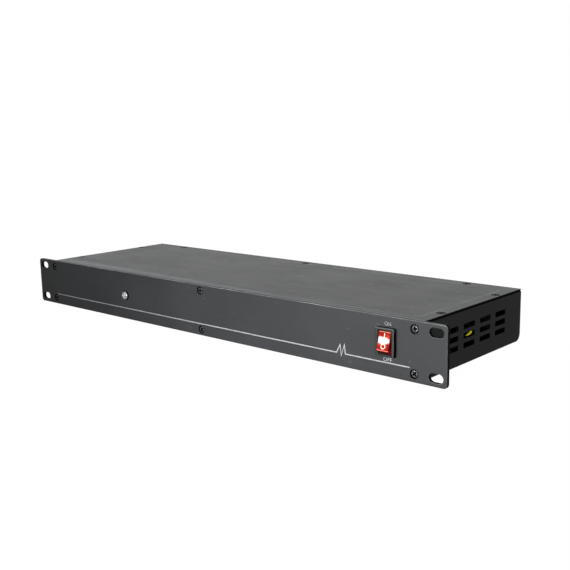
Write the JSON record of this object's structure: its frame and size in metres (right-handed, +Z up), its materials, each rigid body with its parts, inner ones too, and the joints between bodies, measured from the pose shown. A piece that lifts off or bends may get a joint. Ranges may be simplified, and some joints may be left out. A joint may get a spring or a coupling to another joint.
{
  "type": "dmx splitter",
  "caption": "Rack-mount lighting signal splitter: flat steel box, slotted front panel with a rocker switch and status lamp, vented sides, round sockets and a mains inlet at the rear.",
  "frame": {"origin": "middle of the bounding box at the front panel's lower edge", "axes": "+X to the right seen from the front, +Y to the rear with the front panel facing -Y, +Z up"},
  "size_m": [0.4826, 0.1572, 0.044],
  "materials": {
    "panel_anodised": "satin dark grey, finely textured, with light printed line work",
    "case_powder_coat": "satin black powder coat with a fine grain",
    "cover_powder_coat": "satin black powder coat, slightly worn, with dust specks",
    "black_zinc": "black zinc plated steel",
    "black_nylon": "moulded black nylon",
    "connector_nylon": "moulded black glass-filled nylon",
    "latch_plastic": "moulded dark grey acetal",
    "red_clear_plastic": "polished translucent red polycarbonate, lit from inside",
    "nickel_plate": "bright nickel plate",
    "clear_epoxy": "clear cast epoxy",
    "tinned_brass": "tin plated brass",
    "fuse_glass": "clear glass tube with end caps",
    "circuit_board": "green solder mask on glass epoxy",
    "ferrite": "sintered ferrite with a taped winding",
    "capacitor_sleeve": "black shrink sleeve",
    "bare_aluminium": "bare rolled aluminium",
    "zinc_steel": "bright zinc plated steel",
    "earth_sleeve": "yellow and green wire sleeve",
    "brown_sleeve": "brown wire sleeve",
    "blue_sleeve": "blue wire sleeve",
    "red_sleeve": "red wire sleeve"
  },
  "bodies": {
    "case": {"front_panel": "panel_anodised", "chassis_base": "case_powder_coat", "side_panel_left": "case_powder_coat", "side_panel_right": "case_powder_coat", "rear_panel": "case_powder_coat", "top_cover": "cover_powder_coat", "switch_housing": "black_nylon", "led_holder": "nickel_plate", "led_lens": "clear_epoxy", "led_nut": "nickel_plate", "dmx_input": "connector_nylon", "power_inlet": "black_nylon", "inlet_pin_earth": "tinned_brass", "inlet_pin_line": "tinned_brass", "inlet_pin_neutral": "tinned_brass", "main_board": "circuit_board", "power_board": "circuit_board", "transformer": "ferrite", "capacitor": "capacitor_sleeve", "heatsink": "bare_aluminium", "earth_stud": "zinc_steel", "earth_wire": "earth_sleeve", "line_wire": "brown_sleeve", "neutral_wire": "blue_sleeve", "led_lead": "red_sleeve", "supply_lead": "red_sleeve", "panel_screw_1": "black_zinc", "panel_screw_2": "black_zinc", "panel_screw_3": "black_zinc", "panel_screw_4": "black_zinc", "panel_screw_5": "black_zinc", "panel_screw_6": "black_zinc", "cover_screw_1": "black_zinc", "cover_screw_2": "black_zinc", "cover_screw_3": "black_zinc", "cover_screw_4": "black_zinc", "cover_screw_5": "black_zinc", "cover_screw_6": "black_zinc", "cover_screw_7": "black_zinc", "dmx_thru": "connector_nylon", "dmx_output_1": "connector_nylon", "dmx_output_2": "connector_nylon", "dmx_output_3": "connector_nylon", "dmx_output_4": "connector_nylon", "dmx_output_5": "connector_nylon", "dmx_output_6": "connector_nylon", "dmx_output_7": "connector_nylon", "dmx_output_8": "connector_nylon"},
    "rocker": {"switch_rocker": "red_clear_plastic"},
    "drawer": {"fuse_drawer": "black_nylon", "fuse": "fuse_glass"},
    "latch_thru_tab": {"latch_thru": "latch_plastic"},
    "latch_output_1_tab": {"latch_output_1": "latch_plastic"},
    "latch_output_2_tab": {"latch_output_2": "latch_plastic"},
    "latch_output_3_tab": {"latch_output_3": "latch_plastic"},
    "latch_output_4_tab": {"latch_output_4": "latch_plastic"},
    "latch_output_5_tab": {"latch_output_5": "latch_plastic"},
    "latch_output_6_tab": {"latch_output_6": "latch_plastic"},
    "latch_output_7_tab": {"latch_output_7": "latch_plastic"},
    "latch_output_8_tab": {"latch_output_8": "latch_plastic"}
  },
  "joints": [
    {"name": "rocker_tilt", "type": "hinge", "parent": "case", "child": "rocker", "pos_m": [0.192, -0.07271, 0.0254], "axis": [1, 0, 0], "range_deg": [0, 28]},
    {"name": "fuse_drawer_slide", "type": "slide", "parent": "case", "child": "drawer", "axis": [0, 1, 0], "range_m": [0, 0.012]},
    {"name": "latch_thru_press", "type": "slide", "parent": "case", "child": "latch_thru_tab", "axis": [0, -1, 0], "range_m": [0, 0.0015], "stiffness_N_per_m": 400},
    {"name": "latch_output_1_press", "type": "slide", "parent": "case", "child": "latch_output_1_tab", "axis": [0, -1, 0], "range_m": [0, 0.0015], "stiffness_N_per_m": 400},
    {"name": "latch_output_2_press", "type": "slide", "parent": "case", "child": "latch_output_2_tab", "axis": [0, -1, 0], "range_m": [0, 0.0015], "stiffness_N_per_m": 400},
    {"name": "latch_output_3_press", "type": "slide", "parent": "case", "child": "latch_output_3_tab", "axis": [0, -1, 0], "range_m": [0, 0.0015], "stiffness_N_per_m": 400},
    {"name": "latch_output_4_press", "type": "slide", "parent": "case", "child": "latch_output_4_tab", "axis": [0, -1, 0], "range_m": [0, 0.0015], "stiffness_N_per_m": 400},
    {"name": "latch_output_5_press", "type": "slide", "parent": "case", "child": "latch_output_5_tab", "axis": [0, -1, 0], "range_m": [0, 0.0015], "stiffness_N_per_m": 400},
    {"name": "latch_output_6_press", "type": "slide", "parent": "case", "child": "latch_output_6_tab", "axis": [0, -1, 0], "range_m": [0, 0.0015], "stiffness_N_per_m": 400},
    {"name": "latch_output_7_press", "type": "slide", "parent": "case", "child": "latch_output_7_tab", "axis": [0, -1, 0], "range_m": [0, 0.0015], "stiffness_N_per_m": 400},
    {"name": "latch_output_8_press", "type": "slide", "parent": "case", "child": "latch_output_8_tab", "axis": [0, -1, 0], "range_m": [0, 0.0015], "stiffness_N_per_m": 400}
  ]
}
